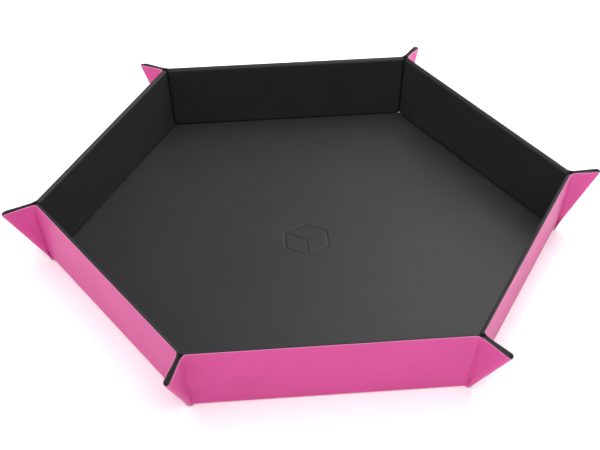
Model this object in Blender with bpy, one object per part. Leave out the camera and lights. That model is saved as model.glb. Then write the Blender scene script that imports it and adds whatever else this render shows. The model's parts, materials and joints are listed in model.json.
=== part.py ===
"""Folding hexagonal dice tray with magnetic corners, standing open with its walls up.

The tray is one flat laminate: an outer skin below, stiffener boards in the middle and a soft lining
on top. Creases split it into a six-sided floor, six walls and twelve ear halves. Raising the walls
pinches the spare triangle at each corner into an ear, whose two halves hold each other by magnets.

Every panel is modelled flat, in the frame of its own crease, and an empty on that crease folds it up.
In a panel's frame X runs along the crease, Y away from it and Z from the skin towards the lining.
"""

import math

import bmesh
import bpy
from mathutils import Matrix, Vector

MM = 0.001

# ---- Driving dimensions, in millimetres and degrees ----
SIDE = 126.0            # side of the floor, from crease to crease
WALL_HEIGHT = 34.8      # from the floor crease to the top edge, along the wall
FLARE = 7.8             # how far an upright wall leans out from the vertical
SKIN = 0.6              # outer skin
BOARD = 1.0             # stiffener board of the floor and the walls
LINING = 0.35           # soft lining
GLUE = 0.1              # glue line between two layers
MAGNET_RADIUS = 3.0
MAGNET_THICKNESS = 0.5
EAR_LEAN = {1: 14.0, 2: -1.0, 3: 19.0, 4: 12.0, 5: 6.0, 6: 12.0}  # sideways lean of each ear

# ---- Sizes worked out from them, or chosen for clearance ----
SIDES = 6
CORNER_HALF = 30.0                       # half of a corner's spare sector, in the flat sheet
HINGE_Z = SKIN / 2                       # a crease turns about the middle of the skin
RAISED = 90.0 - FLARE                    # turn of a wall from flat to upright
SPINE = 1.45                             # half the width of skin that wraps round an ear's fold
CREASE_START = SPINE / math.cos(math.radians(CORNER_HALF))  # ear crease to corner, along the side
CREASE_SLANT = math.degrees(math.atan(math.sin(math.radians(FLARE)) * math.tan(math.radians(CORNER_HALF))))
HEXAGON_RADIUS = SIDE                    # a hexagon's corner radius equals its side
APOTHEM = SIDE * math.cos(math.radians(30.0))

SKIN_SETBACK = 0.4                       # skin edge to crease, room to turn
LINING_SETBACK = 0.8                     # lining rim to the floor crease
LINING_OVERHANG = 0.9                    # wall lining past the ear crease, so inner corners close
EAR_LINING_SETBACK = 1.2                 # ear lining rim to the ear crease
RIM = 0.2                                # cut edge of the skin left showing round the lining
LAND = 0.2                               # upright part of a lining's rim, below its slope
SLOPE = 1.3                              # width and height of the lining's slope down to its rim
BOARD_INSET = 1.6                        # board edge to lining rim
FIT = 0.1                                # clearance of a board or magnet in its pocket
EAR_CORE = 0.55                          # stiffener bonded to an ear's skin, holding the magnet
EAR_START = 3.0                          # ear skin's lower end, above the floor crease
EAR_LINING_START = 4.6                   # ear lining's lower end
EAR_CROWN_START = 10.5                   # where an ear's lining reaches its full thickness
EAR_POCKET_START = 11.5
EAR_CORE_START = 11.9
EAR_DROP = 5.0                           # fall of the sheet's edge from the ear crease to the corner
TIP_RADIUS = 5.0                         # rounding of the flat sheet's outer corners
SPINE_GAP = 0.15                         # between the two halves of an ear, along their fold
CORNER_RADIUS = 1.2                      # small rounding of panel corners
EAR_CORNER_RADIUS = 0.3
MAGNET_FROM_CREASE = 7.0
MAGNET_FROM_TOP = 6.6
ARC_STEPS = 5
MAGNET_STEPS = 32

# ---- Heights of the layers above the underside ----
BOARD_LOW = SKIN + GLUE
BOARD_HIGH = BOARD_LOW + BOARD
POCKET_HIGH = BOARD_HIGH + GLUE
PANEL_HIGH = POCKET_HIGH + LINING
CORE_HIGH = SKIN + EAR_CORE
EAR_POCKET_HIGH = CORE_HIGH + GLUE
EAR_HIGH = EAR_POCKET_HIGH + LINING
MAGNET_LOW = SKIN + GLUE
MAGNET_POCKET_LOW = MAGNET_LOW - GLUE / 2


# ---- Flat outlines ----

def direction(degrees_from_y):
    """Unit vector in the sheet, turned clockwise from +Y."""
    angle = math.radians(degrees_from_y)
    return Vector((math.sin(angle), math.cos(angle)))


def crossing(a, b):
    """Where two lines, each a point and a direction, cross."""
    (p, u), (q, v) = a, b
    t = (q - p).cross(v) / u.cross(v)
    return p + u * t


def inset_corners(edges, insets):
    """Corners of the shape whose edges, counter-clockwise, are moved inwards by the insets."""
    lines = []
    for (point, along), inset in zip(edges, insets):
        inward = Vector((-along.y, along.x))
        lines.append((point + inward * inset, along))
    return [crossing(lines[i - 1], lines[i]) for i in range(len(lines))]


def rounded(corners, radii):
    """The corners replaced by arcs of the given radii, each of ARC_STEPS segments."""
    outline = []
    for i, (corner, radius) in enumerate(zip(corners, radii)):
        back = (corners[i - 1] - corner).normalized()
        ahead = (corners[(i + 1) % len(corners)] - corner).normalized()
        half = back.angle(ahead) / 2
        centre = corner + (back + ahead).normalized() * radius / math.sin(half)
        start = corner + back * radius / math.tan(half) - centre
        turn = math.pi - 2 * half
        for step in range(ARC_STEPS + 1):
            arc = Matrix.Rotation(turn * step / ARC_STEPS, 2)
            outline.append(centre + arc @ start)
    return outline


def floor_outline(inset):
    corners = [HEXAGON_RADIUS * direction(90.0 - 60.0 * i) for i in range(SIDES)]
    edges = [(corners[i], (corners[(i + 1) % SIDES] - corners[i]).normalized()) for i in range(SIDES)]
    return rounded(inset_corners(edges, [inset] * SIDES), [CORNER_RADIUS] * SIDES)


def wall_outline(from_floor, from_ears, from_top):
    """A wall between its floor crease, its two slanting ear creases and its top edge."""
    foot = Vector((SIDE / 2 - CREASE_START, 0.0))
    slant = direction(CREASE_SLANT)
    edges = [
        (Vector((0.0, 0.0)), Vector((1.0, 0.0))),
        (foot, slant),
        (Vector((0.0, WALL_HEIGHT)), Vector((-1.0, 0.0))),
        (Vector((-foot.x, 0.0)), Vector((slant.x, -slant.y))),
    ]
    corners = inset_corners(edges, [from_floor, from_ears, from_top, from_ears])
    return rounded(corners, [CORNER_RADIUS] * 4)


def ear_outline(from_floor, from_crease, from_fold, from_top):
    """The half of an ear on a wall's +X end, in the frame of the ear crease, which is its Y axis.

    from_fold is measured from the middle of the corner's sector, where the other half begins."""
    fold = direction(CORNER_HALF)
    middle = Vector((CREASE_START, 0.0))
    crease_top = direction(CREASE_SLANT) * WALL_HEIGHT / math.cos(math.radians(CREASE_SLANT))
    edges = [
        (Vector((0.0, 0.0)), Vector((1.0, 0.0))),
        (middle, fold),
        (crease_top, direction(EAR_DROP - 90.0)),
        (Vector((0.0, 0.0)), -direction(CREASE_SLANT)),
    ]
    corners = inset_corners(edges, [from_floor, from_fold, from_top, from_crease])
    outline = rounded(corners, [EAR_CORNER_RADIUS] * 4)
    radius = TIP_RADIUS - from_top
    start = CORNER_HALF - math.degrees(math.asin(min(1.0, from_fold / radius)))
    if start > EAR_DROP:
        inset = TIP_RADIUS / math.cos(math.radians(CORNER_HALF - EAR_DROP))
        centre = crossing(edges[1], edges[2]) - fold * inset
        turns = [start + (EAR_DROP - start) * i / ARC_STEPS for i in range(ARC_STEPS + 1)]
        tip = [centre + radius * direction(turn) for turn in turns]
        outline[2 * len(tip):3 * len(tip)] = tip
    to_crease_frame = Matrix.Rotation(math.radians(CREASE_SLANT), 2)
    return [to_crease_frame @ point for point in outline]


def circle(centre, radius, steps=MAGNET_STEPS):
    return [centre + radius * direction(-360.0 * i / steps) for i in range(steps)]


# ---- Solids ----

def ring(mesh, outline, height):
    return [mesh.verts.new((point.x * MM, point.y * MM, height * MM)) for point in outline]


def bridge(mesh, low, high):
    """Side faces from one ring up to the next, facing away from the middle."""
    for i in range(len(low)):
        mesh.faces.new((low[i - 1], low[i], high[i], high[i - 1]))


def stack(outlines_and_heights):
    """A closed solid through rings of equal length, from its underside round to its last ring."""
    mesh = bmesh.new()
    rings = [ring(mesh, outline, height) for outline, height in outlines_and_heights]
    mesh.faces.new(list(reversed(rings[0])))
    for low, high in zip(rings, rings[1:]):
        bridge(mesh, low, high)
    mesh.faces.new(rings[-1])
    bmesh.ops.recalc_face_normals(mesh, faces=mesh.faces[:])
    return mesh


def slab(outline, low, high):
    return stack([(outline, low), (outline, high)])


def lining(rim, crown, pocket, pocket_high, high):
    """A lining turned down over its board: the ceiling of its pocket, the rim, the slope and the top."""
    return stack([
        (pocket, pocket_high),
        (pocket, BOARD_LOW),
        (rim, BOARD_LOW),
        (rim, BOARD_LOW + LAND),
        (crown, high),
    ])


# ---- Objects ----

def material(name, colour, roughness, metallic=0.0):
    made = bpy.data.materials.new(name)
    made.use_nodes = True
    shader = made.node_tree.nodes["Principled BSDF"]
    shader.inputs["Base Color"].default_value = (*colour, 1.0)
    shader.inputs["Roughness"].default_value = roughness
    shader.inputs["Metallic"].default_value = metallic
    made.diffuse_color = (*colour, 1.0)
    return made


def add(name, mesh, look, hinge=None, mirrored=False):
    """An object of this mesh on its hinge. A mirrored one is for the other end of a wall."""
    if mirrored:
        bmesh.ops.scale(mesh, vec=(-1.0, 1.0, 1.0), verts=mesh.verts[:])
        bmesh.ops.reverse_faces(mesh, faces=mesh.faces[:])
    data = bpy.data.meshes.new(name)
    mesh.to_mesh(data)
    mesh.free()
    data.materials.append(look)
    made = bpy.data.objects.new(name, data)
    bpy.context.scene.collection.objects.link(made)
    if hinge is not None:
        made.parent = hinge
        made.location.z = -HINGE_Z * MM
    return made


def empty(name, placement, parent=None):
    made = bpy.data.objects.new(name, None)
    made.empty_display_size = 10 * MM
    bpy.context.scene.collection.objects.link(made)
    made.parent = parent
    made.matrix_local = placement
    return made


def wall_hinge(number):
    """The wall's crease, midway along that side of the floor, turned up to the wall's lean."""
    outward = Matrix.Rotation(math.radians(60.0 * number - 120.0), 4, "Z")
    place = Matrix.Translation((0.0, APOTHEM * MM, HINGE_Z * MM))
    turn = Matrix.Rotation(math.radians(RAISED), 4, "X")
    return empty(f"wall_{number}_hinge", outward @ place @ turn)


def ear_fold():
    """How far an ear half turns from its wall when the two walls' slanting creases meet."""
    wall, fold = math.radians(RAISED), math.radians(CORNER_HALF)
    slant = math.radians(CREASE_SLANT)
    along = Vector((math.cos(fold) * math.cos(slant) * math.cos(wall) + math.sin(fold) * math.sin(slant),
                    math.cos(slant) * math.sin(wall)))
    rise = math.atan2(along.y, along.x) - (fold - slant)
    share = math.cos(rise) * math.sin(wall) * math.cos(fold) - math.sin(rise) * math.cos(wall)
    return math.degrees(math.asin(share / math.sin(fold - slant)))


def ear_hinge(name, wall, side, fold):
    """An ear crease, at a wall's +X end for side 1 and its -X end for side -1."""
    place = Matrix.Translation((side * (SIDE / 2 - CREASE_START) * MM, 0.0, 0.0))
    slant = Matrix.Rotation(math.radians(-side * CREASE_SLANT), 4, "Z")
    turn = Matrix.Rotation(math.radians(side * fold), 4, "Y")
    return empty(name, place @ slant @ turn, wall)


def build_floor(skin_look, board_look, lining_look):
    add("floor_outer_skin", slab(floor_outline(SKIN_SETBACK), 0.0, SKIN), skin_look)
    board = floor_outline(LINING_SETBACK + BOARD_INSET)
    add("floor_board", slab(board, BOARD_LOW, BOARD_HIGH), board_look)
    rim = floor_outline(LINING_SETBACK)
    crown = floor_outline(LINING_SETBACK + SLOPE)
    pocket = floor_outline(LINING_SETBACK + BOARD_INSET - FIT)
    add("floor_lining", lining(rim, crown, pocket, POCKET_HIGH, PANEL_HIGH), lining_look)


def build_wall(number, hinge, skin_look, board_look, lining_look):
    name = f"wall_{number}"
    rim = (LINING_SETBACK, -LINING_OVERHANG, RIM)
    crown, pocket, board = (
        wall_outline(*(inset + extra for inset in rim))
        for extra in (SLOPE, BOARD_INSET - FIT, BOARD_INSET)
    )
    skin = wall_outline(SKIN_SETBACK, SKIN_SETBACK, 0.0)
    add(f"{name}_outer_skin", slab(skin, 0.0, SKIN), skin_look, hinge)
    add(f"{name}_board", slab(board, BOARD_LOW, BOARD_HIGH), board_look, hinge)
    cover = lining(wall_outline(*rim), crown, pocket, POCKET_HIGH, PANEL_HIGH)
    add(f"{name}_lining", cover, lining_look, hinge)


def build_ear_half(name, hinge, side, skin_look, magnet_look, lining_look):
    mirrored = side < 0
    skin = ear_outline(EAR_START, SKIN_SETBACK, SPINE_GAP, 0.0)
    rim = (EAR_LINING_SETBACK, SPINE + RIM, RIM)
    crown, pocket, core = (
        ear_outline(start, *(inset + extra for inset in rim))
        for start, extra in (
            (EAR_CROWN_START, SLOPE),
            (EAR_POCKET_START, BOARD_INSET - FIT),
            (EAR_CORE_START, BOARD_INSET),
        )
    )
    magnet_at = Vector((MAGNET_FROM_CREASE, WALL_HEIGHT - MAGNET_FROM_TOP))
    shell = stack([(skin, 0.0), (skin, SKIN), (core, SKIN), (core, CORE_HIGH)])
    outer = add(f"{name}_outer_skin", shell, skin_look, hinge, mirrored)
    hole = slab(circle(magnet_at, MAGNET_RADIUS + FIT), MAGNET_POCKET_LOW, CORE_HIGH + 1.0)
    cutter = add(f"{name}_magnet_cutter", hole, skin_look, hinge, mirrored)
    cutter.hide_render = True
    cutter.display_type = "WIRE"
    cut = outer.modifiers.new("magnet_pocket", "BOOLEAN")
    cut.operation = "DIFFERENCE"
    cut.object = cutter
    disc = slab(circle(magnet_at, MAGNET_RADIUS), MAGNET_LOW, MAGNET_LOW + MAGNET_THICKNESS)
    add(f"{name}_magnet", disc, magnet_look, hinge, mirrored)
    cover = lining(ear_outline(EAR_LINING_START, *rim), crown, pocket, EAR_POCKET_HIGH, EAR_HIGH)
    add(f"{name}_lining", cover, lining_look, hinge, mirrored)


def main():
    for old in list(bpy.data.objects):
        bpy.data.objects.remove(old)
    skin_look = material("pink_skin", (0.68, 0.09, 0.32), 0.5)
    lining_look = material("black_lining", (0.03, 0.03, 0.032), 0.7)
    board_look = material("grey_board", (0.36, 0.31, 0.25), 0.9)
    magnet_look = material("nickel_magnet", (0.6, 0.58, 0.54), 0.3, 1.0)
    build_floor(skin_look, board_look, lining_look)
    fold = ear_fold()
    for number in range(1, SIDES + 1):
        wall = wall_hinge(number)
        build_wall(number, wall, skin_look, board_look, lining_look)
        after = number % SIDES + 1
        # Seen from outside, a corner's right ear half is on the wall of its own number.
        for corner, half, side in ((number, "right", 1), (after, "left", -1)):
            lean = side * EAR_LEAN[corner]
            name = f"ear_{corner}_{half}"
            hinge = ear_hinge(f"{name}_hinge", wall, side, fold + lean)
            build_ear_half(name, hinge, side, skin_look, magnet_look, lining_look)


main()
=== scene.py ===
"""Looks of the folding dice tray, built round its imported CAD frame.

The tray is one laminated sheet. Each piece here is first laid out flat, in the frame of its own crease
(X along the crease of a wall or across that of an ear, Y away from the floor, Z from the skin's outer
face towards the lining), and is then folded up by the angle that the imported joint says.
Lengths are in millimetres until a point is placed, which turns it into metres.
"""

import json
import math

import bmesh
import bpy
import numpy as np
from mathutils import Matrix, Vector


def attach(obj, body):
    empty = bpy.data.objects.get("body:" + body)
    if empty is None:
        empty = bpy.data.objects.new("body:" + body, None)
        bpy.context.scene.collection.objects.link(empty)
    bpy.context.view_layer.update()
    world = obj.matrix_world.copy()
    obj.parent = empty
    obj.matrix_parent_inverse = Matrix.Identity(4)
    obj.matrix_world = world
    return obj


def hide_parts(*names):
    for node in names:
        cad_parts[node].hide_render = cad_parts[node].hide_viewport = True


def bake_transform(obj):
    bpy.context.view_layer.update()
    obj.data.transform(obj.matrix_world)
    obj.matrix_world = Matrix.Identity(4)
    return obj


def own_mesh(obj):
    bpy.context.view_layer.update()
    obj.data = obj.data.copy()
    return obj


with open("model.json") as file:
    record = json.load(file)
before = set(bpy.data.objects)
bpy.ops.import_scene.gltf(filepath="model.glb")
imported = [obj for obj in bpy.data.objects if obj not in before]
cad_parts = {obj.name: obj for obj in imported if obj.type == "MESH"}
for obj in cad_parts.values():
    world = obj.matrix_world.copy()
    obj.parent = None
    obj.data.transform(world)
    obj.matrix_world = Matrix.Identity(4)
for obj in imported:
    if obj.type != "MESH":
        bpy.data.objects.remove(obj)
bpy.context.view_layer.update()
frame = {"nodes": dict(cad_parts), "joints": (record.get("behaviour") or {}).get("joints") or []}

MM = 0.001
JOINTS = {joint["name"]: joint for joint in frame["joints"]}

# ---- The sheet, as in the CAD ----
SIDES = 6
SIDE = 126.0
WALL_HEIGHT = 34.8
SKIN = 0.6
HINGE_Z = SKIN / 2
SPINE = 1.45
HALF_CORNER = math.radians(30.0)
EAR_DROP = math.radians(5.0)
TIP_RADIUS = 5.0
LINING_TOP = 2.15
EAR_LINING_TOP = 1.62
CLOTH = 0.35

# ---- What the eye sees of it ----
BASE_BEND = 1.1         # half the length of skin that bends at a floor crease
EAR_BEND = 1.4          # the same at an ear crease
FLOOR_MARGIN = 4.0      # width of floor skin that belongs to each wall's piece
EAR_MARGIN = 2.0        # width of wall skin that belongs to each ear's piece
NOSE = 2.4              # width of skin that curls round an ear's fold
NOSE_FOOT = 0.8         # the same at its lower end
NOSE_TAPER = 5.0        # height over which it grows from one to the other
NOSE_LIFT = 0.1         # how far its lower end stays above the ear's
NOSE_CUT = (0.5, 0.7)   # how far its foot, and the pink side of its tip, stop short where two meet
NOSE_SLACK = 0.05       # how far it stays inside its width
NEAR_ROOM = 1.3         # width from an ear's crease to its curl that the columns near the crease need
EAR_LOW = 0.12          # lower end of an ear's skin past its crease
EAR_FOOT = 0.65         # lower end of an ear's skin before its crease
FOOT_STEP = (-0.2, 0.3)  # distances past the crease between which the lower end changes height
FOOT_GAP = 0.22         # distance of a wall's skin from the ear crease at EAR_FOOT
FOOT_GROWTH = 0.35      # how much further out that skin reaches at EAR_LOW
RELIEF = 0.30           # radius of the small opening where the creases of a corner meet
SEAM = 0.02             # between two pieces that meet
COAT = 0.20             # thickness of the pink coat, which shows at the cut edge
BEVEL = 0.3             # how far the pink side of the cut edge stands below the black side
PINCH = 0.35            # how far the magnets draw each side of an ear inwards, near its wall
PINCH_START = (0.4, 3.4)  # distance from the crease over which that grows
PINCH_END = (0.3, 1.0)  # share of the ear's width over which it fades again
PINCH_RISE = (6.0, 16.0)  # height over which it grows
RIM = 0.2               # cut edge of the skin left showing round the lining
OVERHANG = 1.05         # lining of a wall past the ear crease
GROOVE = 0.20           # depth of the line pressed into the skin at an ear crease
GROOVE_AT = 0.72        # its distance from the crease
GROOVE_WIDTH = 0.22     # half its width
VALLEY = 0.55           # depth of the softer valley round it
VALLEY_AT = 1.2         # distance of that from the crease
VALLEY_WIDTH = 0.8      # half its width
LINE_ENDS = (5.0, 0.5)  # how far from foot and top both are full, and how far below the top they end


# ---- Flat geometry ----

def direction(from_y):
    """Unit vector in the sheet, turned clockwise from +Y by an angle in radians."""
    return np.array([math.sin(from_y), math.cos(from_y)])


def turned(point, angle):
    """The point turned anticlockwise about the origin."""
    c, s = math.cos(angle), math.sin(angle)
    return np.array([c * point[0] - s * point[1], s * point[0] + c * point[1]])


def crossing(a, b):
    """Where two lines, each a point and a direction, cross."""
    (p, u), (q, v) = a, b
    t = ((q[0] - p[0]) * v[1] - (q[1] - p[1]) * v[0]) / (u[0] * v[1] - u[1] * v[0])
    return p + u * t


def inset_corners(edges, insets):
    """Corners of the shape whose edges, anticlockwise, are moved inwards by the insets."""
    lines = []
    for (point, along), inset in zip(edges, insets):
        lines.append((point + np.array([-along[1], along[0]]) * inset, along))
    return [crossing(lines[i - 1], lines[i]) for i in range(len(lines))]


def rounded(corners, radii, steps=6):
    """A closed outline through the corners, each turned into an arc."""
    outline = []
    for i, (corner, radius) in enumerate(zip(corners, radii)):
        back = corners[i - 1] - corner
        ahead = corners[(i + 1) % len(corners)] - corner
        back = back / np.linalg.norm(back)
        ahead = ahead / np.linalg.norm(ahead)
        half = math.acos(np.clip(back @ ahead, -1, 1)) / 2
        middle = (back + ahead) / np.linalg.norm(back + ahead)
        centre = corner + middle * radius / math.sin(half)
        start = corner + back * radius / math.tan(half) - centre
        for step in range(steps + 1):
            outline.append(centre + turned(start, (math.pi - 2 * half) * step / steps))
    return np.array(outline)


# ---- Frames of the creases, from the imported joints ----

def columns(x, y, z, origin):
    """The frame with these three axes and this origin."""
    made = Matrix.Identity(4)
    for i, vector in enumerate((x, y, z, origin)):
        made.col[i][:3] = vector
    return made


def turned_back(flat, joint):
    """The frame at rest of a panel that the joint, at the end of its range, lays flat as given."""
    pivot = Matrix.Translation(Vector(joint["pos_m"]))
    turn = Matrix.Rotation(-math.radians(joint["range_deg"][1]), 4, Vector(joint["axis"]))
    return pivot @ turn @ pivot.inverted() @ flat


class Wall:
    """A wall's crease frame, laid out flat and at rest."""

    def __init__(self, number):
        self.name = f"wall_{number}"
        joint = JOINTS[f"{self.name}_fold"]
        self.angle = math.radians(joint["range_deg"][1])
        along = -Vector(joint["axis"])
        up = Vector((0, 0, 1))
        self.flat = columns(along, up.cross(along), up, Vector(joint["pos_m"]))
        self.rest = turned_back(self.flat, joint)
        self.net = self.flat


class Ear:
    """An ear half's crease frame, in the plane of its wall and at rest."""

    def __init__(self, corner, half, wall):
        self.corner = corner
        self.name = f"ear_{corner}_{half}"
        self.side = 1 if half == "right" else -1
        self.wall = wall
        joint = JOINTS[f"{self.name}_fold"]
        self.angle = math.radians(joint["range_deg"][1])
        upright = Vector(joint["axis"]) * -self.side
        inward = wall.rest.col[2].to_3d()
        self.flat = columns(upright.cross(inward), upright, inward, Vector(joint["pos_m"]))
        self.rest = turned_back(self.flat, joint)
        self.net = wall.net @ wall.rest.inverted() @ self.flat


WALLS = [Wall(number) for number in range(1, SIDES + 1)]
EARS = []
for number, wall in enumerate(WALLS, 1):
    EARS.append(Ear(number, "right", wall))
    EARS.append(Ear(number % SIDES + 1, "left", wall))
FOLDED = {ear.name: ear.angle for ear in EARS}
FLARE = math.radians(90.0) - WALLS[0].angle
SLANT = math.atan(math.sin(FLARE) * math.tan(HALF_CORNER))
CREASE_START = SPINE / math.cos(HALF_CORNER)


def lean(ear):
    """Sideways lean of the whole ear at rest, anticlockwise from above."""
    return (FOLDED[f"ear_{ear.corner}_right"] - FOLDED[f"ear_{ear.corner}_left"]) / 2


# ---- Placing flat points ----

def fold(across, height, angle, reach):
    """Bends a cross-section towards +height, from across = -reach to reach, about a round bend."""
    radius = reach / math.tan(angle / 2)
    turn = np.clip((across + reach) / (2 * reach), 0, 1) * angle
    before = np.minimum(across + reach, 0)
    beyond = np.maximum(across - reach, 0)
    new_across = before - reach + (radius - height) * np.sin(turn) + beyond * math.cos(angle)
    new_height = radius - (radius - height) * np.cos(turn) + beyond * math.sin(angle)
    return new_across, new_height


def moved(matrix, x, y, z):
    """Points in millimetres, taken through the matrix into metres."""
    m = np.array(matrix)
    return np.stack([x, y, z], axis=-1) * MM @ m[:3, :3].T + m[:3, 3]


def on_wall_crease(wall):
    """Places flat points on the floor and the wall, bent round the floor crease."""
    def place(x, y, z):
        new_y, new_z = fold(y, z - HINGE_Z, wall.angle, BASE_BEND)
        return moved(wall.flat, x, new_y, new_z)
    return place


def on_ear_crease(ear):
    """Places flat points on the wall and the ear half, bent round the ear crease."""
    def place(x, y, z):
        across, depth = fold(ear.side * x, HINGE_Z - z, ear.angle, EAR_BEND)
        return moved(ear.flat, ear.side * across, y, -depth)
    return place


def on_panel(matrix):
    """Places flat points on a panel that doesn't bend."""
    def place(x, y, z):
        return moved(matrix, x, y, z - HINGE_Z)
    return place


# ---- Meshes ----

class Shape:
    """A closed mesh in the making: points, their place in the flat net, and faces with their look."""

    def __init__(self, place, net):
        self.place, self.net = place, net
        self.points, self.flat, self.faces, self.looks = [], [], [], []

    def add(self, x, y, z):
        """Adds points, and returns their indices in the shape of x."""
        x, y, z = np.broadcast_arrays(np.asarray(x, float), y, z)
        return self.add_placed(self.place(x, y, z), x, y, z)

    def add_placed(self, points, x, y, z):
        """Adds points that are placed already. x, y and z are where they lie in the flat sheet."""
        start = sum(len(p) for p in self.points)
        self.points.append(points.reshape(-1, 3))
        self.flat.append(moved(self.net, x, y, z).reshape(-1, 3) / MM)
        return start + np.arange(x.size).reshape(x.shape)

    def face(self, corners, look):
        self.faces.append([int(i) for i in corners])
        self.looks.append(look)

    def quads(self, index, look):
        corners = [index[:-1, :-1], index[:-1, 1:], index[1:, 1:], index[1:, :-1]]
        for quad in np.stack(corners, axis=-1).reshape(-1, 4):
            self.face(quad, look)

    def band(self, low, high, look):
        """Faces between two closed rings."""
        self.quads(np.stack([np.append(low, low[0]), np.append(high, high[0])]), look)

    def sheet(self, pink, black, edge):
        """Closes two grids of a skin. edge is a row of points along their last row, between them."""
        self.quads(pink, PINK_FACE)
        self.quads(black, BLACK_FACE)
        self.quads(np.stack([pink[0], black[0]]), BLACK_FACE)
        # The cut edge gets the lighter pink, which is partly a painted highlight.
        self.quads(np.stack([pink[-1], edge]), CUT_FACE_WITH_PAINTED_HIGHLIGHT)
        self.quads(np.stack([edge, black[-1]]), BLACK_FACE)
        for end in (0, -1):
            self.quads(np.stack([pink[:, end], black[:, end]]), BLACK_FACE)
            self.face((pink[-1, end], edge[end], black[-1, end]), CUT_FACE_WITH_PAINTED_HIGHLIGHT)

    def build(self, name, materials, sharp=40.0):
        """The object, with its faces turned outwards and its sharp edges marked."""
        mesh = bpy.data.meshes.new(name)
        mesh.from_pydata(np.concatenate(self.points).tolist(), [], self.faces)
        mesh.polygons.foreach_set("material_index", self.looks)
        flat = mesh.attributes.new("flat_mm", "FLOAT_VECTOR", "POINT")
        flat.data.foreach_set("vector", np.concatenate(self.flat).astype(np.float32).ravel())
        for material in materials:
            mesh.materials.append(material)
        faces = bmesh.new()
        faces.from_mesh(mesh)
        bmesh.ops.recalc_face_normals(faces, faces=faces.faces[:])
        faces.to_mesh(mesh)
        faces.free()
        mesh.polygons.foreach_set("use_smooth", [True] * len(mesh.polygons))
        mesh.set_sharp_from_angle(angle=math.radians(sharp))
        made = bpy.data.objects.new(name, mesh)
        bpy.context.scene.collection.objects.link(made)
        return made


# ---- Materials ----

class Nodes:
    """A material's node tree, with short ways to add to it."""

    def __init__(self, name):
        self.material = bpy.data.materials.new(name)
        self.material.use_nodes = True
        self.tree = self.material.node_tree
        self.shader = self.tree.nodes["Principled BSDF"]

    def node(self, kind, inputs=(), **settings):
        made = self.tree.nodes.new(kind)
        for key, value in settings.items():
            setattr(made, key, value)
        for key, value in dict(inputs).items():
            if isinstance(value, bpy.types.NodeSocket):
                self.tree.links.new(value, made.inputs[key])
            else:
                made.inputs[key].default_value = value
        return made

    def coordinates(self):
        """Millimetres in the flat sheet, so that the grain runs on from piece to piece."""
        return self.node("ShaderNodeAttribute", attribute_name="flat_mm").outputs["Vector"]

    def noise(self, where, scale, detail=2.0, roughness=0.5):
        made = self.node("ShaderNodeTexNoise", {
            "Vector": where, "Scale": scale, "Detail": detail, "Roughness": roughness})
        return made.outputs["Fac"]

    def cells(self, where, scale, feature="F1"):
        made = self.node("ShaderNodeTexVoronoi", {"Vector": where, "Scale": scale}, feature=feature)
        return made.outputs["Distance"]

    def ramp(self, value, stops):
        made = self.node("ShaderNodeValToRGB", {"Fac": value})
        elements = made.color_ramp.elements
        while len(elements) < len(stops):
            elements.new(0.5)
        for element, (position, colour) in zip(elements, stops):
            element.position = position
            element.color = (*colour, 1.0)
        return made.outputs["Color"]

    def span(self, value, low, high):
        """The value, taken from 0 to 1, spread from low to high."""
        made = self.node("ShaderNodeMapRange", {"Value": value, "To Min": low, "To Max": high})
        return made.outputs["Result"]

    def mix(self, share, a, b, blend="MIX"):
        made = self.node("ShaderNodeMix", data_type="RGBA", blend_type=blend)
        for socket, value in ((made.inputs[0], share), (made.inputs[6], a), (made.inputs[7], b)):
            if isinstance(value, bpy.types.NodeSocket):
                self.tree.links.new(value, socket)
            elif isinstance(value, tuple):
                socket.default_value = (*value, 1.0)
            else:
                socket.default_value = value
        return made.outputs[2]

    def bump(self, height, strength, depth_mm, normal=None):
        inputs = {"Height": height, "Strength": strength, "Distance": depth_mm * MM}
        if normal is not None:
            inputs["Normal"] = normal
        return self.node("ShaderNodeBump", inputs).outputs["Normal"]

    def finish(self, **inputs):
        """Sets or links the shader's inputs, named with underscores for spaces."""
        for key, value in inputs.items():
            socket = self.shader.inputs[key.replace("_", " ")]
            if isinstance(value, bpy.types.NodeSocket):
                self.tree.links.new(value, socket)
            else:
                socket.default_value = value
        return self.material


def scaled(colour, factor):
    """The colour, lighter or darker by a factor."""
    return tuple(min(1.0, part * factor) for part in colour)


def skin_material(name, colour, roughness):
    """Synthetic leather: a fine pebbled grain with small pores and faint cloudy changes of tone."""
    nodes = Nodes(name)
    where = nodes.coordinates()
    cloud = nodes.noise(where, 0.035, 3.0)
    blotch = nodes.noise(where, 0.35, 2.0)
    pebble = nodes.cells(where, 1.7, "SMOOTH_F1")
    pores = nodes.cells(where, 4.2)
    tone = nodes.ramp(cloud, [(0.3, scaled(colour, 0.93)), (0.7, scaled(colour, 1.05))])
    tone = nodes.mix(nodes.span(blotch, 0.0, 0.14), tone, scaled(colour, 0.8))
    tone = nodes.mix(nodes.span(pebble, 0.0, 0.22), tone, scaled(colour, 0.72))
    grain = nodes.bump(pebble, 0.35, -0.06)
    grain = nodes.bump(pores, 0.2, 0.03, grain)
    worn = nodes.span(nodes.noise(where, 0.9, 3.0), roughness - 0.06, roughness + 0.08)
    return nodes.finish(Base_Color=tone, Roughness=worn, Normal=grain, Specular_IOR_Level=0.25,
                        Sheen_Weight=0.08, Sheen_Roughness=0.4)


def cut_edge_backing_and_highlight_material(colour):
    """The skin's cut edge in a lighter pink: partly its paler woven backing, partly a painted highlight
    where the edge catches light.
    """
    nodes = Nodes("skin_cut_edge_backing_and_painted_highlight")
    where = nodes.coordinates()
    fibres = nodes.noise(where, 3.0, 4.0, 0.7)
    tone = nodes.ramp(fibres, [(0.3, scaled(colour, 0.82)), (0.7, scaled(colour, 1.12))])
    fuzz = nodes.bump(fibres, 0.5, 0.08)
    return nodes.finish(Base_Color=tone, Roughness=0.85, Normal=fuzz, Sheen_Weight=0.3)


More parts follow.
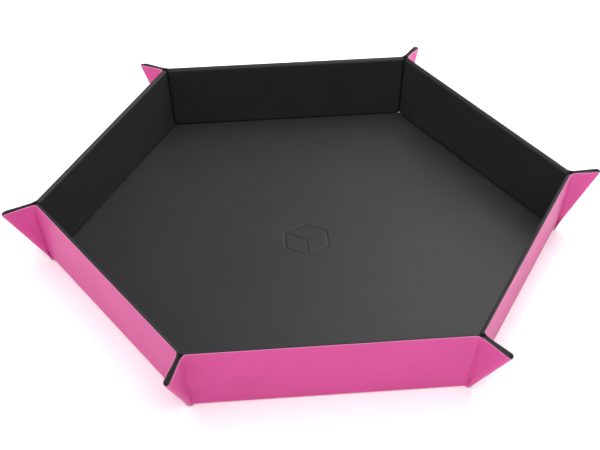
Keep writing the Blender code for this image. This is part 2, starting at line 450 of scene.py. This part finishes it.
def cloth_material(name, colour):
    """Microfibre: a dense short nap, brushed in slightly different ways, with a soft sheen."""
    nodes = Nodes(name)
    where = nodes.coordinates()
    brushed = nodes.noise(where, 0.06, 3.0, 0.55)
    tufts = nodes.noise(where, 1.3, 3.0, 0.6)
    fibres = nodes.noise(where, 6.0, 2.0, 0.7)
    tone = nodes.ramp(brushed, [(0.32, scaled(colour, 0.86)), (0.68, scaled(colour, 1.14))])
    tone = nodes.mix(nodes.span(tufts, 0.0, 0.5), tone, scaled(colour, 1.35))
    tone = nodes.mix(nodes.span(fibres, 0.0, 0.5), tone, scaled(colour, 0.6))
    nap = nodes.bump(tufts, 0.25, 0.12)
    nap = nodes.bump(fibres, 0.4, 0.06, nap)
    matt = nodes.span(tufts, 0.42, 0.54)
    return nodes.finish(Base_Color=tone, Roughness=matt, Normal=nap, Specular_IOR_Level=0.165,
                        Sheen_Weight=0.04, Sheen_Roughness=0.45, Sheen_Tint=(0.75, 0.74, 0.78, 1.0))


def board_material():
    """Grey-brown pulp board."""
    nodes = Nodes("stiffener_board")
    where = nodes.node("ShaderNodeTexCoord").outputs["Object"]
    pulp = nodes.noise(where, 900.0, 4.0, 0.7)
    tone = nodes.ramp(pulp, [(0.35, (0.30, 0.26, 0.20)), (0.65, (0.42, 0.37, 0.30))])
    return nodes.finish(Base_Color=tone, Roughness=0.92, Normal=nodes.bump(pulp, 0.3, 0.05))


def magnet_material():
    """Nickel plating, rubbed a little."""
    nodes = Nodes("nickel_plating")
    where = nodes.node("ShaderNodeTexCoord").outputs["Object"]
    rub = nodes.noise(where, 1500.0, 3.0)
    tone = nodes.ramp(rub, [(0.4, (0.52, 0.50, 0.46)), (0.6, (0.66, 0.64, 0.60))])
    return nodes.finish(Base_Color=tone, Metallic=1.0, Roughness=nodes.span(rub, 0.2, 0.38))


def ground_material():
    """White studio floor, with a faint glow that keeps it white where little light falls."""
    glow = 0.16
    nodes = Nodes("studio_floor")
    where = nodes.node("ShaderNodeTexCoord").outputs["Object"]
    tone = nodes.ramp(nodes.noise(where, 3.0), [(0.3, (0.94, 0.94, 0.94)), (0.7, (0.96, 0.96, 0.96))])
    return nodes.finish(Base_Color=tone, Roughness=0.7, Emission_Color=(1.0, 1.0, 1.0, 1.0),
                        Emission_Strength=glow)


PINK = (0.590, 0.062, 0.268)
# Lighter pink of the cut edges: partly the paler backing, partly a painted highlight along the edge.
EDGE_PINK_AND_PAINTED_HIGHLIGHT = (0.66, 0.20, 0.40)
BLACK = (0.0176, 0.0165, 0.0181)
SKIN_LOOKS = [
    skin_material("pink_synthetic_leather", PINK, 0.5),
    cloth_material("black_microfibre", BLACK),
    cut_edge_backing_and_highlight_material(EDGE_PINK_AND_PAINTED_HIGHLIGHT),
]
PINK_FACE, BLACK_FACE, CUT_FACE_WITH_PAINTED_HIGHLIGHT = 0, 1, 2


# ---- Skin pieces ----

def eased(start, end, count):
    """Numbers from start to end, closer together at both ends."""
    share = 0.5 - 0.5 * np.cos(np.linspace(0, math.pi, count))
    return start + (end - start) * share


def smooth(value, start, end):
    """0 before start, 1 after end, and a smooth rise between them."""
    t = np.clip((value - start) / (end - start), 0, 1)
    return t * t * (3 - 2 * t)


def wall_half_length(y):
    """Half the length of a wall's skin piece at height y above its floor crease."""
    crease = SIDE / 2 - CREASE_START + y * math.tan(SLANT)
    if y >= EAR_FOOT:
        return crease - EAR_MARGIN / math.cos(SLANT)
    if y >= EAR_LOW:
        return crease - FOOT_GAP + FOOT_GROWTH * (EAR_FOOT - y) / (EAR_FOOT - EAR_LOW)
    if y <= -RELIEF * math.cos(HALF_CORNER):
        return SIDE / 2 + y * math.tan(HALF_CORNER)
    return SIDE / 2 - math.sqrt(max(RELIEF ** 2 - y ** 2, 0.0))


def wall_skin(wall):
    """The skin from the floor's margin, over the floor crease, to the top of the wall."""
    rows = np.sort(np.concatenate([
        [-FLOOR_MARGIN, -3.1, -2.2, -1.5],
        np.linspace(-BASE_BEND, BASE_BEND, 17),
        [EAR_LOW - 0.03, EAR_LOW, EAR_FOOT - 0.03, EAR_FOOT, 2.1, 3.2],
        np.linspace(4.8, WALL_HEIGHT - 2.0, 13),
        [WALL_HEIGHT - 1.0, WALL_HEIGHT],
    ]))
    shares = eased(-1.0, 1.0, 49)
    x = np.array([wall_half_length(y) * shares for y in rows])
    y = np.repeat(rows[:, None], len(shares), axis=1)
    shape = Shape(on_wall_crease(wall), wall.net)
    pink = shape.add(x, np.minimum(y, WALL_HEIGHT - BEVEL), 0.0)
    black = shape.add(x, y, SKIN)
    edge = shape.add(x[-1], WALL_HEIGHT - BEVEL / 3, COAT)
    shape.sheet(pink, black, edge)
    return shape.build(f"{wall.name}_skin", SKIN_LOOKS), shape


def in_crease_frame(x, y, side):
    """Points measured from the foot of an ear crease, turned so that the crease is the Y axis."""
    turned_x = math.cos(SLANT) * x - math.sin(SLANT) * y
    turned_y = math.sin(SLANT) * x + math.cos(SLANT) * y
    return side * turned_x, turned_y


def sheet_top(x):
    """Height of the sheet's edge, x from the foot of the ear crease: level, then falling to the tip."""
    return WALL_HEIGHT - np.maximum(x - WALL_HEIGHT * math.tan(SLANT), 0) * math.tan(EAR_DROP)


def nose_width(y):
    """Width of the skin that curls round an ear's fold, at height y."""
    return NOSE_FOOT + (NOSE - NOSE_FOOT) * np.clip((y - EAR_FOOT) / NOSE_TAPER, 0, 1)


def curl_start(y):
    """Where the curl round the fold starts, from the foot of the ear crease."""
    return CREASE_START + y * math.tan(HALF_CORNER) - nose_width(y) / math.cos(HALF_CORNER)


def ear_skin(ear):
    """The skin from a wall's end, over the ear crease, to where it starts to curl round the fold."""
    # Its columns: near ones by their distance from the crease, far ones by their share of what is left.
    near = np.array([-1.7, -1.4, -1.1, -0.8, -0.5, -0.2, 0.1, 0.3, 0.45, 0.58, 0.72, 0.86, 1.0])
    near = np.concatenate([[-EAR_MARGIN / math.cos(SLANT)], near])
    far = np.linspace(0, 1, 24)[1:] ** 1.3
    rise = np.concatenate([eased(0, 1 - 1 / WALL_HEIGHT, 26), [1.0]])
    count = len(near)
    from_foot = np.concatenate([near, np.ones(len(far))])
    step_start, step_end = FOOT_STEP
    stepped = np.clip((from_foot - step_start) / (step_end - step_start), 0, 1)
    foot = EAR_FOOT + (EAR_LOW - EAR_FOOT) * stepped
    x = np.zeros((len(rise), count + len(far)))
    y = foot + (WALL_HEIGHT - foot) * rise[:, None]
    # The top slopes with x, and x depends on the height, so a few rounds settle both.
    for _ in range(6):
        crease = y * math.tan(SLANT)
        room = np.minimum(1, (curl_start(y) - crease) / NEAR_ROOM)
        x[:, :count] = crease[:, :count] + near * np.where(near > 0, room[:, :count], 1)
        start = (crease + near[-1] * room)[:, count:]
        x[:, count:] = start + (curl_start(y[:, count:]) - start) * far
        y = foot + (sheet_top(x[-1]) - foot) * rise[:, None]
    lining_side = in_crease_frame(x, y, ear.side)
    from_crease = ear.side * lining_side[0]
    drawn = smooth(from_crease, *PINCH_START)
    drawn = drawn * (1 - smooth(from_crease / from_crease[:, -1:], *PINCH_END))
    drawn = PINCH * drawn * smooth(y, *PINCH_RISE)
    full, below_top = LINE_ENDS
    line = GROOVE * np.exp(-((from_crease - GROOVE_AT) / GROOVE_WIDTH) ** 2)
    line += VALLEY * np.exp(-((from_crease - VALLEY_AT) / VALLEY_WIDTH) ** 2)
    line *= smooth(y, EAR_FOOT, full) * (1 - smooth(y, WALL_HEIGHT - full, WALL_HEIGHT - below_top))
    shorter = y - np.clip(BEVEL - (sheet_top(x) - y), 0, BEVEL)
    shape = Shape(on_ear_crease(ear), ear.net)
    pink = shape.add(*in_crease_frame(x, shorter, ear.side), drawn + line)
    black = shape.add(*lining_side, drawn + SKIN)
    edge = shape.add(*in_crease_frame(x[-1], y[-1] - BEVEL / 3, ear.side), drawn[-1] + COAT)
    shape.sheet(pink, black, edge)
    return shape.build(f"{ear.name}_skin", SKIN_LOOKS), shape


def ear_nose(ear):
    """The skin's curl round the ear's fold, as far as the other half's curl."""
    quarter = math.pi / 2
    turn = np.linspace(0, quarter, 13)
    share = turn / quarter
    shift = -ear.side * SPINE * math.sin(lean(ear))
    depth = SPINE * math.cos(lean(ear)) - SEAM
    # The corner of the sheet, its distance along the fold and the edge of its rounded tip.
    crease_top = WALL_HEIGHT * math.tan(SLANT)
    height = (WALL_HEIGHT + (crease_top - CREASE_START) * math.tan(EAR_DROP)) / (
        1 + math.tan(EAR_DROP) * math.tan(HALF_CORNER))
    corner = height / math.cos(HALF_CORNER)
    open_half = HALF_CORNER - EAR_DROP
    centre = corner - TIP_RADIUS / math.cos(open_half)
    flat_b = NOSE * (1 - share)
    arc = centre + np.sqrt(TIP_RADIUS ** 2 - flat_b ** 2)
    tip_a = np.where(flat_b < TIP_RADIUS * math.sin(open_half), arc,
                     corner - flat_b * math.tan(open_half))
    rise = np.concatenate([np.linspace(0, 1, 28)[:-1] ** 1.2, [1.0]])[:, None]

    cos, sin = math.cos(HALF_CORNER), math.sin(HALF_CORNER)
    foot_cut, tip_cut = (cut * share ** 2 for cut in NOSE_CUT)

    def layer(offset, shorter):
        """Points at an offset outwards from the skin's middle, cut shorter than the sheet at the tip."""
        foot_a = (EAR_LOW - NOSE_FOOT * (1 - share) * sin) / cos + NOSE_LIFT
        a = foot_a + foot_cut + (tip_a - shorter - foot_a - foot_cut) * rise
        width = nose_width(a * cos)
        reach = width - SKIN / 2 - NOSE_SLACK + shift * math.cos(HALF_CORNER - SLANT)
        out_b, out_z = -depth * np.sin(turn), -reach * np.cos(turn)
        length = np.hypot(out_b, out_z)
        b = width - reach * np.sin(turn) + out_b / length * offset
        z = HINGE_Z + depth * (1 - np.cos(turn)) + out_z / length * offset
        flat_b = width * (1 - share)
        moved_a = a + shift * math.sin(HALF_CORNER - SLANT) * share
        x, y = CREASE_START + moved_a * sin - b * cos, moved_a * cos + b * sin
        flat_x, flat_y = CREASE_START + a * sin - flat_b * cos, a * cos + flat_b * sin
        points = shape.place(*in_crease_frame(x, y, ear.side), z)
        flat = in_crease_frame(flat_x, flat_y, ear.side)
        return shape.add_placed(points, *flat, np.zeros_like(x))

    shape = Shape(on_panel(ear.rest), ear.net)
    blunt = BEVEL + tip_cut
    edge_higher = 0.2
    pink = layer(SKIN / 2, blunt)
    black = layer(-SKIN / 2, 0.0)
    edge = layer(SKIN / 2 - COAT, blunt - edge_higher)[-1]
    shape.sheet(pink, black, edge)
    return shape.build(f"{ear.name}_fold", SKIN_LOOKS)


def hexagon(radius, steps):
    """Points round a hexagon with a corner on +X, steps to a side."""
    corners = [radius * np.array([math.cos(i * math.pi / 3), math.sin(i * math.pi / 3)]) for i in range(7)]
    points = []
    for a, b in zip(corners, corners[1:]):
        points.extend(a + (b - a) * step / steps for step in range(steps))
    return np.array(points)


def floor_skin():
    """The skin under the floor, up to the margins that belong to the walls' pieces."""
    corner = SIDE - FLOOR_MARGIN / math.cos(HALF_CORNER)
    rings = corner * np.array([0.25, 0.5, 0.75, 0.92, 1.0])
    shape = Shape(on_panel(Matrix.Identity(4)), Matrix.Identity(4))
    rims = []
    for z, look in ((0.0, PINK_FACE), (SKIN, BLACK_FACE)):
        layer = []
        for radius in rings:
            x, y = hexagon(radius, 12).T
            points = np.column_stack([x, y, np.full(len(x), z)]) * MM
            layer.append(shape.add_placed(points, x, y, np.zeros(len(x))))
        for inner, outer in zip(layer, layer[1:]):
            shape.band(inner, outer, look)
        shape.face(layer[0], look)
        rims.append(layer[-1])
    shape.band(rims[0], rims[1], PINK_FACE)
    return shape.build("floor_skin", SKIN_LOOKS), shape


# ---- Linings ----

# A panel lining's levels: height, inset from a floor crease, and inset from any other edge's rim.
LINING_LEVELS = [
    (SKIN + SEAM, 1.10, 0.00),
    (0.87, 1.22, 0.00),
    (1.20, 1.36, 0.22),
    (1.72, 1.58, 0.65),
    (1.98, 1.80, 0.95),
    (2.11, 2.15, 1.30),
    (LINING_TOP, 2.60, 1.80),
    (LINING_TOP, 3.20, 2.40),
]

# How far the floor lining's corners are drawn out at each of those levels, over the openings there.
CORNER_POINTS = (2.1, 2.0, 1.6, 0.6, 0.0, 0.0, 0.0)


def wall_outline(from_floor, from_ears, from_top):
    """A wall panel's outline, moved inwards from its edges."""
    foot, slant = np.array([SIDE / 2 - CREASE_START, 0.0]), direction(SLANT)
    edges = [
        (np.zeros(2), np.array([1.0, 0.0])),
        (foot, slant),
        (np.array([0.0, WALL_HEIGHT]), np.array([-1.0, 0.0])),
        (foot * [-1, 1], slant * [1, -1]),
    ]
    return rounded(inset_corners(edges, [from_floor, from_ears, from_top, from_ears]), [0.3, 0.3, 1.2, 1.2])


def ear_outline(from_floor, from_crease, from_fold, from_top):
    """An ear half's outline with its rounded tip, moved inwards from its edges."""
    crease_top = direction(SLANT) * WALL_HEIGHT / math.cos(SLANT)
    middle = direction(HALF_CORNER)
    edges = [
        (np.zeros(2), np.array([1.0, 0.0])),
        (np.array([CREASE_START, 0.0]), middle),
        (crease_top, direction(EAR_DROP - math.pi / 2)),
        (np.zeros(2), -direction(SLANT)),
    ]
    corners = inset_corners(edges, [from_floor, from_fold, from_top, from_crease])
    outline = rounded(corners, [0.3, 0.3, 0.6, 0.6])
    radius = TIP_RADIUS - from_top
    start = HALF_CORNER - math.asin(min(1.0, from_fold / radius))
    if start > EAR_DROP:
        steps = len(outline) // 4
        centre = crossing(edges[1], edges[2]) - middle * TIP_RADIUS / math.cos(HALF_CORNER - EAR_DROP)
        turns = np.linspace(start, EAR_DROP, steps)
        outline[2 * steps:3 * steps] = [centre + radius * direction(turn) for turn in turns]
    return outline


def shell(shape, outlines, heights):
    """A cloth shell through closed outlines from its rim up, CLOTH thick, open underneath."""
    outer = [shape.add(o[:, 0], o[:, 1], z) for o, z in zip(outlines, heights)]
    inner = []
    for o, z in zip(outlines, heights):
        centre = o.mean(axis=0)
        shrunk = o + (centre - o) * (CLOTH / np.linalg.norm(o - centre, axis=1))[:, None]
        inner.append(shape.add(shrunk[:, 0], shrunk[:, 1], max(z - CLOTH, SKIN + SEAM)))
    for layer in (outer, inner):
        for low, high in zip(layer, layer[1:]):
            shape.band(low, high, 0)
        shape.face(layer[-1], 0)
    shape.band(outer[0], inner[0], 0)
    return shape


def wall_lining(wall, material):
    """A wall's lining, whose rim slopes down to the skin all round the board."""
    outlines = [wall_outline(low, inset - OVERHANG, RIM + inset) for _, low, inset in LINING_LEVELS]
    shape = shell(Shape(on_panel(wall.rest), wall.net), outlines, [level[0] for level in LINING_LEVELS])
    return shape.build(f"{wall.name}_lining_cloth", [material], 60.0), shape


def ear_lining(ear, material):
    """An ear half's lining, clear of the other half's where the magnets hold them together."""
    # Height, and insets from the floor, the ear crease, the ear's fold and the top.
    levels = [
        (SKIN + SEAM, 4.6, 1.2, 2.2, 0.1),
        (0.85, 4.8, 1.2, 1.7, 0.05),
        (1.10, 5.4, 1.45, 1.3, 0.0),
        (1.35, 6.6, 1.8, 1.1, 0.0),
        (1.55, 8.2, 2.2, 1.1, 0.15),
        (EAR_LINING_TOP, 9.6, 2.7, 1.3, 0.5),
        (EAR_LINING_TOP, 10.4, 3.2, 1.8, 1.1),
        (EAR_LINING_TOP, 11.2, 3.7, 2.4, 1.7),
    ]
    outlines = []
    for _, *insets in levels:
        outline = ear_outline(*insets)
        outlines.append(np.stack(in_crease_frame(outline[:, 0], outline[:, 1], ear.side), axis=-1))
    shape = shell(Shape(on_panel(ear.rest), ear.net), outlines, [level[0] for level in levels])
    return shape.build(f"{ear.name}_lining_cloth", [material], 60.0), shape


def segment_distance(points, a, b):
    """How far each point is from the segment from a to b."""
    t = np.clip((points - a) @ (b - a) / ((b - a) @ (b - a)), 0, 1)
    return np.linalg.norm(points - a - t[:, None] * (b - a), axis=1)


def mark_depth(points):
    """Depth of the pressed mark at the floor's centre: a plain cube in outline, seen from a corner."""
    size, stroke, slope, pressed = 12.2, 0.32, 0.42, 0.32
    corners = [size * np.array([math.sin(i * math.pi / 3), math.cos(i * math.pi / 3)]) for i in range(6)]
    segments = [(corners[i], corners[(i + 1) % 6]) for i in range(6)]
    segments += [(np.zeros(2), corners[i]) for i in (1, 3, 5)]
    nearest = np.min([segment_distance(points, a, b) for a, b in segments], axis=0)
    return pressed * (1 - smooth(nearest - stroke, 0, slope))


def corner_inset(inset):
    """Corner radius of the floor's hexagon with its edges moved inwards."""
    return SIDE - inset / math.cos(HALF_CORNER)


def floor_lining(material):
    """The floor's lining: fine rings round the pressed mark, and wider ones out to its sloping rim."""
    fine, pitch, steps, mark_reach = 56, 0.27, 52, 15.5
    radii = [pitch * k for k in range(1, fine + 1)]
    wide = np.linspace(radii[-1], corner_inset(LINING_LEVELS[-1][1]), 12)[1:]
    rim = [(corner_inset(low), z, point) for (z, low, _), point in zip(LINING_LEVELS[:-1], CORNER_POINTS)]
    rim.reverse()
    shape = Shape(on_panel(Matrix.Identity(4)), Matrix.Identity(4))

    def placed(radius, z, drop, point=0.0):
        """A ring at a height less the drop, with its corners drawn out by the length point."""
        outline = hexagon(radius, steps)
        outline[::steps] *= 1 + point / radius
        depth = mark_depth(outline) if radius < mark_reach else 0.0
        heights = z - depth - drop + np.zeros(len(outline))
        points = np.stack([outline[:, 0], outline[:, 1], heights], axis=-1) * MM
        return shape.add_placed(points, outline[:, 0], outline[:, 1], heights)

    layers = []
    for drop in (0.0, CLOTH):
        layer = [placed(radius, LINING_TOP, drop) for radius in [*radii, *wide]]
        for radius, z, point in rim:
            inner = radius - drop / math.cos(HALF_CORNER)
            layer.append(placed(inner, max(z, SKIN + SEAM + drop), drop, point))
        for low, high in zip(layer, layer[1:]):
            shape.band(low, high, 0)
        shape.face(layer[0], 0)
        layers.append(layer)
    shape.band(layers[0][-1], layers[1][-1], 0)
    return shape.build("floor_lining_cloth", [material], 60.0), shape


# ---- Building ----

cloth = cloth_material("black_microfibre_lining", BLACK)


def build_floor():
    skin, shape = floor_skin()
    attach(skin, "floor")
    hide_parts("floor_outer_skin")
    lining, shape = floor_lining(cloth)
    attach(lining, "floor")
    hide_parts("floor_lining")


def build_wall(wall):
    skin, shape = wall_skin(wall)
    place = on_wall_crease(wall)
    start, end = (place(0.0, y, HINGE_Z) for y in (-BASE_BEND, BASE_BEND))
    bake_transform(skin)
    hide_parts(f"{wall.name}_outer_skin")
    lining, shape = wall_lining(wall, cloth)
    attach(lining, wall.name)
    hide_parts(f"{wall.name}_lining")


def build_ear(ear):
    skin, shape = ear_skin(ear)
    place = on_ear_crease(ear)
    height = 15.0
    start, end = (place(ear.side * x, height, HINGE_Z) for x in (-EAR_BEND, EAR_BEND))
    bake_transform(skin)
    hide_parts(f"{ear.name}_outer_skin")
    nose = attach(ear_nose(ear), ear.name)
    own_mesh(nose)
    lining, shape = ear_lining(ear, cloth)
    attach(lining, ear.name)
    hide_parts(f"{ear.name}_lining")


def dress_hidden_parts():
    """Gives the CAD's own boards and magnets, which no piece here replaces, their materials."""
    board, magnet = board_material(), magnet_material()
    for name, node in frame["nodes"].items():
        if name.endswith("board"):
            node.data.materials.clear()
            node.data.materials.append(board)
        elif name.endswith("magnet"):
            node.data.materials.clear()
            node.data.materials.append(magnet)


def build_stage():
    """The studio's floor, just under the tray, and its plain white surroundings."""
    half, gap, strength = 6.0, 0.0002, 0.33
    mesh = bpy.data.meshes.new("studio_ground")
    corners = [(-half, -half, 0), (half, -half, 0), (half, half, 0), (-half, half, 0)]
    mesh.from_pydata(corners, [], [(0, 1, 2, 3)])
    mesh.materials.append(ground_material())
    ground = bpy.data.objects.new("studio_ground", mesh)
    ground.location.z = -gap
    bpy.context.scene.collection.objects.link(ground)
    world = bpy.data.worlds.new("studio")
    world.use_nodes = True
    background = world.node_tree.nodes["Background"]
    background.inputs["Color"].default_value = (1.0, 1.0, 1.0, 1.0)
    background.inputs["Strength"].default_value = strength
    bpy.context.scene.world = world


def away_from_tray(azimuth, elevation):
    """Unit vector from the tray, by angles in degrees. Azimuth 0 is in front and 90 on the right."""
    a, e = math.radians(azimuth), math.radians(elevation)
    return Vector((math.sin(a) * math.cos(e), -math.cos(a) * math.cos(e), math.sin(e)))


def area_light(name, azimuth, elevation, distance, size, power):
    """A square soft light aimed at the tray. Lengths are in metres, and the power is in watts."""
    away = away_from_tray(azimuth, elevation)
    data = bpy.data.lights.new(name, "AREA")
    data.size = size
    data.energy = power
    light = bpy.data.objects.new(name, data)
    light.location = away * distance
    light.rotation_mode = "QUATERNION"
    light.rotation_quaternion = away.to_track_quat("Z", "Y")
    light.visible_camera = False
    bpy.context.scene.collection.objects.link(light)


def build_camera():
    """The camera, a little left of the front, looking down at a point near the floor's middle."""
    azimuth, elevation, distance, lens = -5.41, 38.18, 0.8014, 94.63
    target = Vector((-0.00172, 0.01468, 0.0))
    away = away_from_tray(azimuth, elevation)
    data = bpy.data.cameras.new("camera")
    data.sensor_width = 36.0
    data.lens = lens
    data.clip_end = 30.0
    camera = bpy.data.objects.new("camera", data)
    camera.location = target + away * distance
    camera.rotation_mode = "QUATERNION"
    camera.rotation_quaternion = away.to_track_quat("Z", "Y")
    bpy.context.scene.collection.objects.link(camera)
    bpy.context.scene.camera = camera


build_floor()
for wall in WALLS:
    build_wall(wall)
for ear in EARS:
    build_ear(ear)
dress_hidden_parts()
build_stage()
area_light("front", 20, 50, 1.8, 1.2, 15.0)
area_light("overhead", 180, 80, 1.8, 1.2, 3.4)
area_light("left_low", -60, 20, 1.8, 1.2, 7.2)
area_light("left_high", -60, 50, 1.8, 1.2, 4.1)
area_light("left_back", -105, 50, 1.8, 1.2, 5.2)
area_light("right_back_high", 140, 60, 0.5, 0.3, 1.75)
area_light("right_back_low", 145, 35, 0.7, 0.35, 1.56)
build_camera()
bpy.context.scene.view_settings.view_transform = "Standard"
